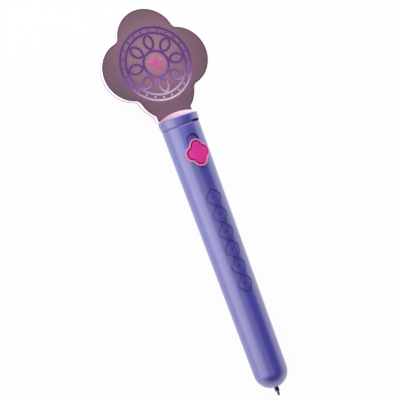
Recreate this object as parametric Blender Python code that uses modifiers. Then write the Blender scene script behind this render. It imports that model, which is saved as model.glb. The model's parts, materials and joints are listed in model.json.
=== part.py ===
"""A light-up ballpoint pen with a four-lobed edge-lit plate, lying at rest on a table.

The pieces are modelled in the pen's own frame and hang from one empty that lays the pen down:
local Z runs along the pen from the writing ball (z = 0) to the plate, and the front is local -Y.
The slider under the thumb carries the refill, so it takes the writing point in and out.
"""

import math

import bmesh
import bpy
from mathutils import Matrix, Vector

MM = 0.001

# Barrel: a tapered tube with a round nose, open at the mouth
NOSE_Z = 4.5 * MM
NOSE_RADIUS = 8.35 * MM
MOUTH_Z = 138.2 * MM
MOUTH_RADIUS = 9.5 * MM
WALL = 2.0 * MM
POINT_HOLE_RADIUS = 1.5 * MM
BARREL_SEGMENTS = 40

# Slider button, and the track that it runs in
BUTTON_Z = 123.3 * MM
BUTTON_REACH = 6.7 * MM
BUTTON_UNDERSIDE = 9.63 * MM
BUTTON_TOP = 10.65 * MM
BUTTON_DISH = 9.95 * MM
BUTTON_RIM = 0.65 * MM
TRAVEL = 5.0 * MM
TRACK_HALF_WIDTH = 3.2 * MM
TRACK_FLOOR = 8.55 * MM
SHOE_HALF_LENGTH = 4.4 * MM
STEM_Z = 121.8 * MM
STEM_WIDTH = 2.8 * MM
STEM_LENGTH = 3.0 * MM

# Collar, with a skirt that snaps into the barrel and a thumbnail nick in its lower edge
COLLAR_Z = 138.55 * MM
COLLAR_TOP_Z = 142.6 * MM
COLLAR_FOOT_RADIUS = 9.65 * MM
COLLAR_TOP_RADIUS = 10.05 * MM
COLLAR_EDGE = 0.35 * MM
SKIRT_Z = 131.7 * MM
SKIRT_RADIUS = 7.2 * MM
SNAP_Z = 135.0 * MM
NICK_ANGLE = 40.0
NICK_DEPTH = 1.6 * MM
NICK_RADIUS = 14.0 * MM
NICK_HEIGHT = 0.8 * MM

# Frosted diffuser and lobed plate, which stands a little behind the pen's axis, over the LED
DIFFUSER_SEAT_Z = 141.4 * MM
DIFFUSER_SEAT_RADIUS = 8.7 * MM
DIFFUSER_LIP_RADIUS = 9.7 * MM
DIFFUSER_LIP_Z = 143.4 * MM
DIFFUSER_TOP_Z = 145.7 * MM
PLATE_THICKNESS = 3.0 * MM
PLATE_CHAMFER = 0.3 * MM
PLATE_Y = 2.8 * MM
PLATE_CENTRE_Z = 171.3 * MM
PLATE_REACH = 28.1 * MM
NECK_HALF_WIDTH = 9.7 * MM
TANG_HALF_WIDTH = 6.0 * MM
TANG_Z = 142.4 * MM

# A four-lobed outline, as shares of its reach from the centre
LOBE_SHARE = 0.548
NOTCH_SHARE = 0.102

# Light unit in the collar
CELL_POCKET_RADIUS = 6.2 * MM
CELL_RADIUS = 5.8 * MM
CELL_HEIGHT = 3.0 * MM
LOWER_CELL_Z = 133.25 * MM
UPPER_CELL_Z = 136.35 * MM
BOARD_POCKET_RADIUS = 6.9 * MM
BOARD_RADIUS = 6.4 * MM
BOARD_Z = 139.75 * MM
BOARD_TOP_Z = 140.55 * MM
LED_SIZE = (3.5 * MM, 2.8 * MM, 1.5 * MM)
LEAF_X = 2.0 * MM
LEAF_Y = 6.55 * MM
LEAF_WIDTH = 1.2 * MM
LEAF_THICKNESS = 0.3 * MM

# Carriage inside the barrel
CARRIAGE_Z = 113.5 * MM
CARRIAGE_TOP_Z = 126.2 * MM
CARRIAGE_RADIUS = 6.95 * MM
CARRIAGE_FLAT = 5.6 * MM
BRIDGE_Z = 116.5 * MM
DETENT_Z = 119.5 * MM

# Refill
BALL_RADIUS = 0.4 * MM
POINT_BASE_RADIUS = 0.92 * MM
POINT_SHANK_RADIUS = 0.75 * MM
POINT_TOP_Z = 2.6 * MM
SHANK_TOP_Z = 8.6 * MM
HOLDER_FRONT_RADIUS = 1.1 * MM
HOLDER_SHOULDER_Z = 9.0 * MM
TUBE_Z = 14.2 * MM
TUBE_TOP_Z = 119.2 * MM
TUBE_RADIUS = 1.5 * MM
TUBE_BORE = 1.0 * MM
SPIGOT_TOP_Z = 19.0 * MM
INK_TOP_Z = 96.0 * MM

# Clearances: around pieces that slide, between pieces that seat, and between small fitted ones
RUN_GAP = 0.3 * MM
SEAT_GAP = 0.15 * MM
FIT_GAP = 0.05 * MM

MERGE = 1e-6
FRONT, BACK = -13.0 * MM, -5.5 * MM
DOME_Z = NOSE_Z + NOSE_RADIUS
TAPER = (MOUTH_RADIUS - NOSE_RADIUS) / (MOUTH_Z - DOME_Z)

# Finishes: colour, roughness, metallic value and alpha
PURPLE = ((0.145, 0.125, 0.42), 0.38, 0.0, 1.0)
PINK = ((0.70, 0.035, 0.26), 0.35, 0.0, 1.0)
FROSTED = ((0.90, 0.68, 0.82), 0.55, 0.0, 0.9)
ACRYLIC = ((0.21, 0.12, 0.16), 0.12, 0.0, 0.85)
NATURAL = ((0.75, 0.75, 0.72), 0.50, 0.0, 1.0)
BLACK = ((0.012, 0.012, 0.014), 0.40, 0.0, 1.0)
BOARD_GREEN = ((0.03, 0.20, 0.08), 0.50, 0.0, 1.0)
RESIN = ((0.95, 0.75, 0.30), 0.20, 0.0, 1.0)
INK = ((0.008, 0.008, 0.012), 0.30, 0.0, 1.0)
CLEAR = ((0.80, 0.82, 0.85), 0.25, 0.0, 0.5)
NICKEL = ((0.62, 0.62, 0.60), 0.25, 1.0, 1.0)
BRASS = ((0.70, 0.50, 0.18), 0.30, 1.0, 1.0)
CARBIDE = ((0.30, 0.30, 0.32), 0.15, 1.0, 1.0)

for old in list(bpy.data.objects):
    bpy.data.objects.remove(old)

parts = bpy.data.collections.new("light_up_pen")
cutters = bpy.data.collections.new("cutters")
for group in (parts, cutters):
    bpy.context.scene.collection.children.link(group)

pen = bpy.data.objects.new("pen_frame", None)
parts.objects.link(pen)


# Modelling helpers

def finished(name, finish):
    """A material of the piece's own, from one of the finishes."""
    colour, roughness, metallic, alpha = finish
    material = bpy.data.materials.new(name)
    material.use_nodes = True
    shader = material.node_tree.nodes["Principled BSDF"]
    shader.inputs["Base Color"].default_value = (*colour, 1.0)
    shader.inputs["Roughness"].default_value = roughness
    shader.inputs["Metallic"].default_value = metallic
    shader.inputs["Alpha"].default_value = alpha
    return material


def add(name, mesh, finish=None):
    """One named piece of the pen or, with no finish, a cutter."""
    obj = bpy.data.objects.new(name, mesh)
    obj.parent = pen
    if finish:
        parts.objects.link(obj)
        mesh.materials.append(finished(name, finish))
    else:
        cutters.objects.link(obj)
        obj.hide_render = True
        obj.display_type = "WIRE"
    return obj


def arc(centre, radius, start, end, steps):
    """Points on an arc in a plane, from the start angle to the end angle in degrees."""
    angles = [math.radians(start + (end - start) * i / steps) for i in range(steps + 1)]
    return [(centre[0] + radius * math.cos(a), centre[1] + radius * math.sin(a)) for a in angles]


def turned(name, profile, finish=None, segments=24, closed=False):
    """A solid of revolution. The (radius, z) profile runs down the outer side, top to bottom."""
    last = len(profile) - 1
    edges = [(i, i + 1) for i in range(last)]
    if closed:
        edges.append((last, 0))
    mesh = bpy.data.meshes.new(name)
    mesh.from_pydata([(radius, 0.0, z) for radius, z in profile], edges, [])
    obj = add(name, mesh, finish)
    screw = obj.modifiers.new("Screw", "SCREW")
    screw.axis = "Z"
    screw.angle = math.tau
    screw.steps = segments
    screw.render_steps = segments
    screw.use_merge_vertices = True
    screw.merge_threshold = MERGE
    screw.use_smooth_shade = True
    return obj


def disc(name, radius, bottom, top, finish=None, segments=24):
    return turned(name, [(0.0, top), (radius, top), (radius, bottom), (0.0, bottom)], finish, segments)


def outline_solid(name, outline, front, back, finish=None, chamfer=0.0):
    """A flat outline of (x, z) points, filled and extruded along Y from front to back."""
    curve = bpy.data.curves.new(name, "CURVE")
    curve.dimensions = "2D"
    curve.fill_mode = "BOTH"
    curve.extrude = (back - front) / 2 - chamfer
    curve.bevel_depth = chamfer
    curve.bevel_resolution = 0
    curve.offset = -chamfer
    spline = curve.splines.new("POLY")
    spline.points.add(len(outline) - 1)
    for point, (x, z) in zip(spline.points, outline):
        point.co = (x, z, 0.0, 1.0)
    spline.use_cyclic_u = True
    flat = bpy.data.objects.new(name + "_outline", curve)
    cutters.objects.link(flat)
    graph = bpy.context.evaluated_depsgraph_get()
    mesh = bpy.data.meshes.new_from_object(flat.evaluated_get(graph))
    bpy.data.objects.remove(flat)
    work = bmesh.new()
    work.from_mesh(mesh)
    bmesh.ops.remove_doubles(work, verts=work.verts, dist=MERGE)
    bmesh.ops.recalc_face_normals(work, faces=work.faces)
    work.to_mesh(mesh)
    work.free()
    upright = Matrix.Rotation(math.pi / 2, 4, "X")
    mesh.transform(Matrix.Translation((0.0, (front + back) / 2, 0.0)) @ upright)
    mesh.materials.clear()
    mesh.name = name
    return add(name, mesh, finish)


def block(name, low, high, finish=None, bevel=0.0):
    """A box between two corners, with bevelled edges if asked."""
    low, high = Vector(low), Vector(high)
    size = Matrix.Diagonal((*(high - low), 1.0))
    work = bmesh.new()
    bmesh.ops.create_cube(work, size=1.0, matrix=Matrix.Translation((low + high) / 2) @ size)
    mesh = bpy.data.meshes.new(name)
    work.to_mesh(mesh)
    work.free()
    obj = add(name, mesh, finish)
    if bevel:
        broken = obj.modifiers.new("Bevel", "BEVEL")
        broken.width = bevel
        broken.segments = 1
    return obj


def strip(name, path, across, width, thickness, finish):
    """Bent sheet metal: a path of points, swept across by the width and made solid."""
    half = Vector(across).normalized() * (width / 2)
    points = [Vector(p) + side for p in path for side in (-half, half)]
    faces = [(2 * i, 2 * i + 1, 2 * i + 3, 2 * i + 2) for i in range(len(path) - 1)]
    mesh = bpy.data.meshes.new(name)
    mesh.from_pydata(points, [], faces)
    obj = add(name, mesh, finish)
    sheet = obj.modifiers.new("Solidify", "SOLIDIFY")
    sheet.thickness = thickness
    sheet.offset = 0.0
    sheet.use_even_offset = True
    return obj


def boolean(obj, operation, *others):
    for other in others:
        step = obj.modifiers.new(other.name, "BOOLEAN")
        step.operation = operation
        step.object = other
    return obj


def cut(obj, *tools):
    return boolean(obj, "DIFFERENCE", *tools)


def join(obj, *tools):
    return boolean(obj, "UNION", *tools)


def wrapped(solid, inner, outer):
    """Only the layer of a solid between two radii, so that it follows the round barrel."""
    segments = 72
    top, bottom = BUTTON_Z + 20 * MM, BUTTON_Z - 20 * MM
    profile = [(outer, top), (outer, bottom), (inner, bottom), (inner, top)]
    layer = turned(solid.name + "_layer", profile, segments=segments, closed=True)
    layer.rotation_euler.z = math.pi / segments
    return boolean(solid, "INTERSECT", layer)


# Outlines

def lobes(reach):
    """Lobe radius, lobe centre distance, notch radius and notch centre of a four-lobed outline."""
    radius = LOBE_SHARE * reach
    distance = reach - radius
    notch = NOTCH_SHARE * reach
    corner = (distance + math.sqrt(2 * (radius + notch) ** 2 - distance**2)) / 2
    return radius, distance, notch, corner


def four_lobes(reach, centre_z, steps, notch_steps):
    """A closed four-lobed outline with rounded notches, anticlockwise from the right lobe."""
    radius, distance, notch, corner = lobes(reach)
    half = math.degrees(math.atan2(corner, corner - distance))
    quarter = arc((distance, 0.0), radius, -half, half, steps)
    quarter += arc((corner, corner), notch, half + 180, 270 - half, notch_steps)[1:-1]
    points = []
    for turn in range(4):
        c, s = math.cos(turn * math.pi / 2), math.sin(turn * math.pi / 2)
        points += [(x * c - z * s, centre_z + x * s + z * c) for x, z in quarter]
    return points


def plate_outline():
    """The lobed plate, with its lowest lobe run into a neck and a narrower tang."""
    radius, distance, _, _ = lobes(PLATE_REACH)
    neck_top = PLATE_CENTRE_Z - distance - math.sqrt(radius**2 - NECK_HALF_WIDTH**2)
    shoulder = DIFFUSER_LIP_Z + SEAT_GAP
    outline = four_lobes(PLATE_REACH, PLATE_CENTRE_Z, 12, 4)
    lobed = [(x, z) for x, z in outline if z > neck_top + 0.5 * MM]
    start = max(range(len(lobed)), key=lambda i: lobed[i][0] - lobed[i - 1][0])
    right = [(TANG_HALF_WIDTH, TANG_Z), (TANG_HALF_WIDTH, shoulder)]
    right += [(NECK_HALF_WIDTH, shoulder), (NECK_HALF_WIDTH, neck_top)]
    left = [(-x, z) for x, z in reversed(right)]
    return right + lobed[start:] + lobed[:start] + left


def bent(outline):
    """A flat outline as the front shows it once it lies round the barrel, its widths turned into arcs."""
    return [(BUTTON_TOP * math.sin(x / BUTTON_TOP), z) for x, z in outline]


def slot_outline(half_width, bottom, top):
    """A straight slot along Z with round ends."""
    upper = arc((0.0, top - half_width), half_width, 0, 180, 8)
    lower = arc((0.0, bottom + half_width), half_width, 180, 360, 8)
    return upper + lower


# Barrel

def bore_radius(z):
    return NOSE_RADIUS - WALL + TAPER * (z - DOME_Z)


def groove(z):
    """A shallow ring in the bore, listed upwards."""
    depth, half = 0.35 * MM, 0.6 * MM
    return [(bore_radius(z), z - half), (bore_radius(z) + depth, z), (bore_radius(z), z + half)]


def make_barrel():
    inner = NOSE_RADIUS - WALL
    edge = 0.5 * MM
    hole_outside = math.degrees(math.asin(POINT_HOLE_RADIUS / NOSE_RADIUS))
    hole_inside = math.degrees(math.asin(POINT_HOLE_RADIUS / inner))
    profile = [(MOUTH_RADIUS - edge, MOUTH_Z), (MOUTH_RADIUS, MOUTH_Z - edge)]
    profile += arc((0.0, DOME_Z), NOSE_RADIUS, 0, -90 + hole_outside, 8)
    profile += arc((0.0, DOME_Z), inner, -90 + hole_inside, 0, 4)
    profile += groove(DETENT_Z) + groove(DETENT_Z + TRAVEL) + groove(SNAP_Z)
    profile += [(bore_radius(MOUTH_Z - edge), MOUTH_Z - edge), (bore_radius(MOUTH_Z) + edge, MOUTH_Z)]
    barrel = turned("barrel", profile, PURPLE, BARREL_SEGMENTS, closed=True)
    barrel.rotation_euler.z = flat_side_down()
    return cut(barrel, track_cutter(), stem_slot_cutter())


def track_cutter():
    """The recess that the slider's shoe runs in, of one depth all round the barrel."""
    low = BUTTON_Z - SHOE_HALF_LENGTH - RUN_GAP
    high = BUTTON_Z + SHOE_HALF_LENGTH + TRAVEL + RUN_GAP
    track = outline_solid("track_cutter", slot_outline(TRACK_HALF_WIDTH, low, high), FRONT, BACK)
    return wrapped(track, TRACK_FLOOR, BUTTON_TOP)


def stem_slot_cutter():
    """The slot through the track's floor for the slider's stem."""
    half = STEM_WIDTH / 2 + RUN_GAP
    low = STEM_Z - STEM_LENGTH / 2 - RUN_GAP
    high = STEM_Z + STEM_LENGTH / 2 + TRAVEL + RUN_GAP
    return block("stem_slot_cutter", (-half, FRONT, low), (half, BACK, high))


def make_refill_guide():
    """A plug in the round nose whose bore keeps the refill in line with the point hole."""
    outer = NOSE_RADIUS - WALL - SEAT_GAP
    bore = TUBE_RADIUS + 0.25 * MM
    sleeve = bore + 1.0 * MM
    rim_z, sleeve_z = DOME_Z + 3 * MM, DOME_Z + 12 * MM
    mouth = math.degrees(math.asin((bore + 0.6 * MM) / outer))
    throat_z = DOME_Z - outer * math.cos(math.radians(mouth))
    profile = [(sleeve, sleeve_z), (sleeve, rim_z), (outer, rim_z)]
    profile += arc((0.0, DOME_Z), outer, 0, -90 + mouth, 4)
    profile += [(bore, throat_z), (bore, sleeve_z)]
    return turned("refill_guide", profile, NATURAL, closed=True)


# Head

def make_collar():
    """The ring at the mouth. Its skirt plugs into the barrel and holds the cells and the board."""
    bead = 0.4 * MM
    ledge_z = BOARD_Z - SEAT_GAP
    seat_z = DIFFUSER_SEAT_Z - SEAT_GAP
    profile = [
        (COLLAR_TOP_RADIUS - COLLAR_EDGE, COLLAR_TOP_Z),
        (COLLAR_TOP_RADIUS, COLLAR_TOP_Z - COLLAR_EDGE),
        (COLLAR_FOOT_RADIUS, COLLAR_Z + COLLAR_EDGE / 2),
        (COLLAR_FOOT_RADIUS - COLLAR_EDGE / 2, COLLAR_Z),
        (SKIRT_RADIUS, COLLAR_Z),
        (SKIRT_RADIUS, SNAP_Z + bead),
        (SKIRT_RADIUS + bead, SNAP_Z),
        (SKIRT_RADIUS, SNAP_Z - bead),
        (SKIRT_RADIUS, SKIRT_Z + COLLAR_EDGE),
        (SKIRT_RADIUS - COLLAR_EDGE, SKIRT_Z),
        (CELL_POCKET_RADIUS, SKIRT_Z),
        (CELL_POCKET_RADIUS, ledge_z),
        (BOARD_POCKET_RADIUS, ledge_z),
        (BOARD_POCKET_RADIUS, seat_z),
        (DIFFUSER_SEAT_RADIUS, seat_z),
        (DIFFUSER_SEAT_RADIUS, COLLAR_TOP_Z),
    ]
    collar = turned("collar", profile, PURPLE, BARREL_SEGMENTS, closed=True)
    collar.rotation_euler.z = flat_side_down()
    return cut(collar, leaf_slit("left", -LEAF_X), leaf_slit("right", LEAF_X), nick_cutter())


def leaf_slit(side, x):
    """A groove up the back of the collar's skirt for one contact leaf."""
    half = LEAF_WIDTH / 2 + 0.25 * MM
    low = (x - half, LEAF_Y - LEAF_THICKNESS / 2 - SEAT_GAP, SKIRT_Z - MM)
    high = (x + half, SKIRT_RADIUS + RUN_GAP, DIFFUSER_SEAT_Z - RUN_GAP)
    return block(f"leaf_slit_{side}", low, high)


def nick_cutter():
    """A wide disc that bites a lens-shaped nick into the collar's lower edge."""
    tool = disc("nick_cutter", NICK_RADIUS, COLLAR_Z - MM, COLLAR_Z + NICK_HEIGHT, segments=72)
    distance = COLLAR_FOOT_RADIUS - NICK_DEPTH + NICK_RADIUS
    direction = math.radians(NICK_ANGLE)
    tool.location = (distance * math.sin(direction), -distance * math.cos(direction), 0.0)
    return tool


def make_diffuser():
    """The frosted dome that glows under the plate. A slot across it holds the plate."""
    rise = DIFFUSER_TOP_Z - DIFFUSER_LIP_Z
    curvature = (DIFFUSER_LIP_RADIUS**2 + rise**2) / (2 * rise)
    edge = math.degrees(math.asin(DIFFUSER_LIP_RADIUS / curvature))
    lip_z = COLLAR_TOP_Z + SEAT_GAP
    plug = DIFFUSER_SEAT_RADIUS - SEAT_GAP
    profile = [(0.0, DIFFUSER_TOP_Z)]
    profile += arc((0.0, DIFFUSER_TOP_Z - curvature), curvature, 90, 90 - edge, 6)[1:]
    profile += [(DIFFUSER_LIP_RADIUS, lip_z), (plug, lip_z)]
    profile += [(plug, DIFFUSER_SEAT_Z), (0.0, DIFFUSER_SEAT_Z)]
    diffuser = turned("diffuser", profile, FROSTED, BARREL_SEGMENTS)
    half = PLATE_THICKNESS / 2 + SEAT_GAP
    front, back = PLATE_Y - half, PLATE_Y + half
    above, below = DIFFUSER_TOP_Z + MM, DIFFUSER_SEAT_Z - MM
    neck, tang = DIFFUSER_LIP_RADIUS + MM, TANG_HALF_WIDTH + SEAT_GAP
    neck_slot = block("neck_slot_cutter", (-neck, front, DIFFUSER_LIP_Z), (neck, back, above))
    tang_slot = block("tang_slot_cutter", (-tang, front, below), (tang, back, above))
    return cut(diffuser, neck_slot, tang_slot)


def make_light_plate():
    front, back = PLATE_Y - PLATE_THICKNESS / 2, PLATE_Y + PLATE_THICKNESS / 2
    return outline_solid("light_plate", plate_outline(), front, back, ACRYLIC, PLATE_CHAMFER)


# Light unit

def make_led():
    """A surface-mount LED under the plate's tang. A resin lens fills its dished package."""
    length, width, height = LED_SIZE
    low_z = BOARD_TOP_Z + FIT_GAP
    top_z = low_z + height
    rim, floor, floor_z = 1.15 * MM, 0.8 * MM, top_z - 0.6 * MM
    low = (-length / 2, PLATE_Y - width / 2, low_z)
    high = (length / 2, PLATE_Y + width / 2, top_z)
    package = block("led_package", low, high, NATURAL, 0.1 * MM)
    flare = [(0.0, top_z + MM), (rim, top_z + MM), (rim, top_z), (floor, floor_z), (0.0, floor_z)]
    dish = turned("led_dish_cutter", flare)
    filling = [(0.0, top_z), (rim - FIT_GAP, top_z - 0.1 * MM)]
    filling += [(floor - FIT_GAP, floor_z + FIT_GAP), (0.0, floor_z + FIT_GAP)]
    lens = turned("led_lens", filling, RESIN)
    for piece in (dish, lens):
        piece.location.y = PLATE_Y
    cut(package, dish)


def make_circuit_board():
    """The board with its flasher chip and the LED's series resistor."""
    disc("circuit_board", BOARD_RADIUS, BOARD_Z, BOARD_TOP_Z, BOARD_GREEN, 32)
    low_z = BOARD_TOP_Z + FIT_GAP
    chip = ((3.0 * MM, -1.0 * MM, low_z), (5.0 * MM, 1.0 * MM, low_z + 0.65 * MM))
    resistor = ((-4.6 * MM, -0.4 * MM, low_z), (-3.0 * MM, 0.4 * MM, low_z + 0.45 * MM))
    block("driver_chip", *chip, BLACK, 0.08 * MM)
    block("resistor", *resistor, BLACK, 0.06 * MM)


def make_cell(name, bottom):
    """A button cell: the crimped can on top and the smaller cap below."""
    cap, step, edge = 4.7 * MM, 0.4 * MM, 0.3 * MM
    top = bottom + CELL_HEIGHT
    profile = [(0.0, top), (CELL_RADIUS - edge, top), (CELL_RADIUS, top - edge)]
    profile += [(CELL_RADIUS, bottom + step + edge), (CELL_RADIUS - edge, bottom + step)]
    profile += [(cap + edge, bottom + step), (cap, bottom + edge), (cap - edge, bottom), (0.0, bottom)]
    return turned(name, profile, NICKEL, 32)


def make_battery_contacts():
    """Dished discs that press on both ends of the cell stack."""
    sheet, crown, rim = 0.2 * MM, 1.0 * MM, 4.0 * MM
    low = SKIRT_Z + 1.0 * MM
    high = LOWER_CELL_Z - FIT_GAP
    lower = [(0.0, high), (crown, high), (rim * 0.75, low + sheet), (rim, low + sheet), (rim, low)]
    lower += [(rim * 0.75, low), (crown, high - sheet), (0.0, high - sheet)]
    turned("negative_contact", lower, BRASS)
    top = BOARD_Z - FIT_GAP
    bottom = UPPER_CELL_Z + CELL_HEIGHT + FIT_GAP
    upper = [(0.0, top), (rim, top), (rim, top - sheet), (crown, bottom), (0.0, bottom)]
    turned("positive_contact", upper, BRASS)


def make_battery_cover():
    """The disc that closes the cell pocket, with a coin slot in its underside."""
    low, high = SKIRT_Z + FIT_GAP, SKIRT_Z + 0.95 * MM
    cover = disc("battery_cover", CELL_POCKET_RADIUS - SEAT_GAP, low, high, NATURAL, 32)
    slot = block("coin_slot_cutter", (-4 * MM, -0.6 * MM, low - MM), (4 * MM, 0.6 * MM, low + 0.45 * MM))
    return cut(cover, slot)


def make_contact_leaf(side, x):
    """A spring strip from the board down to the carriage, bent to meet the bridge contact there."""
    solder_z = BOARD_TOP_Z + RUN_GAP
    bend_y = LEAF_Y - 0.4 * MM
    path = [(5.0 * MM, solder_z), (LEAF_Y, solder_z), (LEAF_Y, BRIDGE_Z + 1.4 * MM)]
    path += [(bend_y, BRIDGE_Z + 0.3 * MM), (bend_y, BRIDGE_Z - 0.3 * MM), (LEAF_Y, BRIDGE_Z - 1.4 * MM)]
    points = [(x, y, z) for y, z in path]
    return strip(f"contact_leaf_{side}", points, (1, 0, 0), LEAF_WIDTH, LEAF_THICKNESS, BRASS)


# Slider and carriage

def make_slider_button():
    """The thumb button: a lobed shell curved like the barrel, with a raised rim and a dished face."""
    outside = bent(four_lobes(BUTTON_REACH, BUTTON_Z, 8, 3))
    button = outline_solid("slider_button", outside, FRONT, BACK, PINK)
    wrapped(button, BUTTON_UNDERSIDE, BUTTON_TOP)
    hollow = bent(four_lobes(BUTTON_REACH - BUTTON_RIM, BUTTON_Z, 8, 3))
    dish = wrapped(outline_solid("dish_cutter", hollow, FRONT, BACK), BUTTON_DISH, -FRONT)
    cut(button, dish)
    low, high = BUTTON_Z - SHOE_HALF_LENGTH, BUTTON_Z + SHOE_HALF_LENGTH
    shoe_outline = slot_outline(TRACK_HALF_WIDTH - RUN_GAP, low, high)
    shoe = outline_solid("slider_shoe", shoe_outline, FRONT, BACK)
    wrapped(shoe, TRACK_FLOOR + 0.2 * MM, BUTTON_UNDERSIDE + 0.2 * MM)
    half, reach = STEM_WIDTH / 2, STEM_LENGTH / 2
    tip_y, root_y = -4.6 * MM, -9.0 * MM
    stem = block("slider_stem", (-half, root_y, STEM_Z - reach), (half, tip_y, STEM_Z + reach))
    return join(button, shoe, stem)


def make_carriage():
    """The sled inside the barrel that grips the refill's tail and takes the button's stem."""
    edge, vent = 0.4 * MM, 0.6 * MM
    socket = TUBE_RADIUS + SEAT_GAP
    socket_top = TUBE_TOP_Z + SEAT_GAP
    profile = [
        (CARRIAGE_RADIUS - edge, CARRIAGE_TOP_Z),
        (CARRIAGE_RADIUS, CARRIAGE_TOP_Z - edge),
        (CARRIAGE_RADIUS, CARRIAGE_Z + edge),
        (CARRIAGE_RADIUS - edge, CARRIAGE_Z),
        (socket + edge, CARRIAGE_Z),
        (socket, CARRIAGE_Z + edge),
        (socket, socket_top),
        (vent, socket_top),
        (vent, CARRIAGE_TOP_Z),
    ]
    carriage = turned("carriage", profile, NATURAL, 32, closed=True)
    half, reach = STEM_WIDTH / 2 + SEAT_GAP, STEM_LENGTH / 2 + SEAT_GAP
    pocket_low, pocket_high = (-half, -8 * MM, STEM_Z - reach), (half, -4.3 * MM, STEM_Z + reach)
    pocket = block("stem_pocket_cutter", pocket_low, pocket_high)
    clear, below, above = 9 * MM, CARRIAGE_Z - MM, CARRIAGE_TOP_Z + MM
    back = block("carriage_back_cutter", (-clear, CARRIAGE_FLAT, below), (clear, clear, above))
    side = 2 * MM
    left = block("carriage_left_cutter", (-clear, -side, below), (-CARRIAGE_FLAT, side, above))
    right = block("carriage_right_cutter", (CARRIAGE_FLAT, -side, below), (clear, side, above))
    return cut(carriage, pocket, back, left, right)


def make_detent_spring():
    """A bowed strip in the carriage's side that clicks into the rings in the bore."""
    sheet, half = 0.2 * MM, 3.6 * MM
    foot = CARRIAGE_FLAT + sheet / 2 + FIT_GAP
    bow = CARRIAGE_RADIUS - foot
    path = []
    for i in range(-5, 6):
        path.append((foot + bow * math.cos(i * math.pi / 10) ** 2, 0.0, DETENT_Z + half * i / 5))
    return strip("detent_spring", path, (0, 1, 0), 2.4 * MM, sheet, NICKEL)


def make_bridge_contact():
    """A clip on the carriage's back that joins the two contact leaves, with a raised pad for each."""
    sheet, pad, half, reach = 0.25 * MM, 0.05 * MM, 0.4 * MM, 3.4 * MM
    seat = CARRIAGE_FLAT + FIT_GAP + sheet / 2
    pads = [(x + dx, seat + dy) for x in (-LEAF_X, LEAF_X) for dx, dy in ((-half, 0), (0, pad), (half, 0))]
    path = [(-reach, seat), *pads, (reach, seat)]
    return strip("bridge_contact", [(x, y, BRIDGE_Z) for x, y in path], (0, 0, 1), 1.6 * MM, sheet, BRASS)


# Refill

def make_refill_tube():
    tube = [(TUBE_RADIUS, TUBE_TOP_Z), (TUBE_RADIUS, TUBE_Z), (TUBE_BORE, TUBE_Z), (TUBE_BORE, TUBE_TOP_Z)]
    turned("refill_tube", tube, CLEAR, closed=True)
    disc("ink_column", TUBE_BORE - FIT_GAP, SPIGOT_TOP_Z + 2 * FIT_GAP, INK_TOP_Z, INK, 20)


def make_point_holder():
    """The black socket between the tube and the metal point. Its nose shows below the barrel."""
    spigot, channel = TUBE_BORE - FIT_GAP, 0.4 * MM
    shank_bore = POINT_SHANK_RADIUS + FIT_GAP
    low = POINT_TOP_Z + FIT_GAP
    edge = 0.1 * MM
    profile = [
        (spigot, SPIGOT_TOP_Z),
        (spigot, TUBE_Z - FIT_GAP),
        (TUBE_RADIUS, TUBE_Z - FIT_GAP),
        (TUBE_RADIUS, HOLDER_SHOULDER_Z + RUN_GAP),
        (HOLDER_FRONT_RADIUS + edge, HOLDER_SHOULDER_Z),
        (HOLDER_FRONT_RADIUS, low + edge),
        (HOLDER_FRONT_RADIUS - edge, low),
        (shank_bore, low),
        (shank_bore, SHANK_TOP_Z + SEAT_GAP),
        (channel, SHANK_TOP_Z + SEAT_GAP),
        (channel, SPIGOT_TOP_Z),
    ]
    return turned("point_holder", profile, BLACK, closed=True)


def make_writing_point():
    """The metal cone, with a shank pressed into the holder and a round seat for the ball."""
    seat = BALL_RADIUS + FIT_GAP
    channel, lip_wall = 0.18 * MM, 0.06 * MM
    lip_angle, seat_angle = -20.0, math.degrees(math.acos(channel / seat))
    socket = arc((0.0, BALL_RADIUS), seat, lip_angle, seat_angle, 6)
    lip_radius, lip_z = socket[0]
    profile = [
        (POINT_SHANK_RADIUS, SHANK_TOP_Z),
        (POINT_SHANK_RADIUS, POINT_TOP_Z),
        (POINT_BASE_RADIUS, POINT_TOP_Z),
        (POINT_BASE_RADIUS, POINT_TOP_Z - 0.3 * MM),
        (seat + 2 * lip_wall, BALL_RADIUS + FIT_GAP),
        (lip_radius + lip_wall, lip_z),
    ]
    return turned("writing_point", profile + socket + [(channel, SHANK_TOP_Z)], NICKEL, closed=True)


def make_writing_ball():
    work = bmesh.new()
    bmesh.ops.create_uvsphere(work, u_segments=16, v_segments=8, radius=BALL_RADIUS)
    mesh = bpy.data.meshes.new("writing_ball")
    work.to_mesh(mesh)
    work.free()
    ball = add("writing_ball", mesh, CARBIDE)
    ball.location.z = BALL_RADIUS
    return ball


# Rest pose: the pen lies on its nose and collar, rolled until one lobe of the plate meets the table

def rest_tilt():
    """The angle of the pen's axis above the table, on the round nose and the collar's widest edge."""
    span = COLLAR_TOP_Z - COLLAR_EDGE - DOME_Z
    rise = math.atan2(COLLAR_TOP_RADIUS, span)
    return rise - math.asin(NOSE_RADIUS / math.hypot(span, COLLAR_TOP_RADIUS))


def rest_roll():
    """The turn about the pen's axis that brings the back edge of the plate's right lobe to the table."""
    height = NOSE_RADIUS / math.cos(rest_tilt()) + (PLATE_CENTRE_Z - DOME_Z) * math.tan(rest_tilt())
    reach, back = PLATE_REACH - PLATE_CHAMFER, PLATE_Y + PLATE_THICKNESS / 2
    return math.asin(height / math.hypot(reach, back)) - math.atan2(back, reach)


def flat_side_down():
    """The small turn that lays one flat of a many-sided barrel or collar on the table."""
    facet = math.tau / BARREL_SEGMENTS
    return (math.pi / 2 - rest_roll()) % facet - facet / 2


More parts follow.
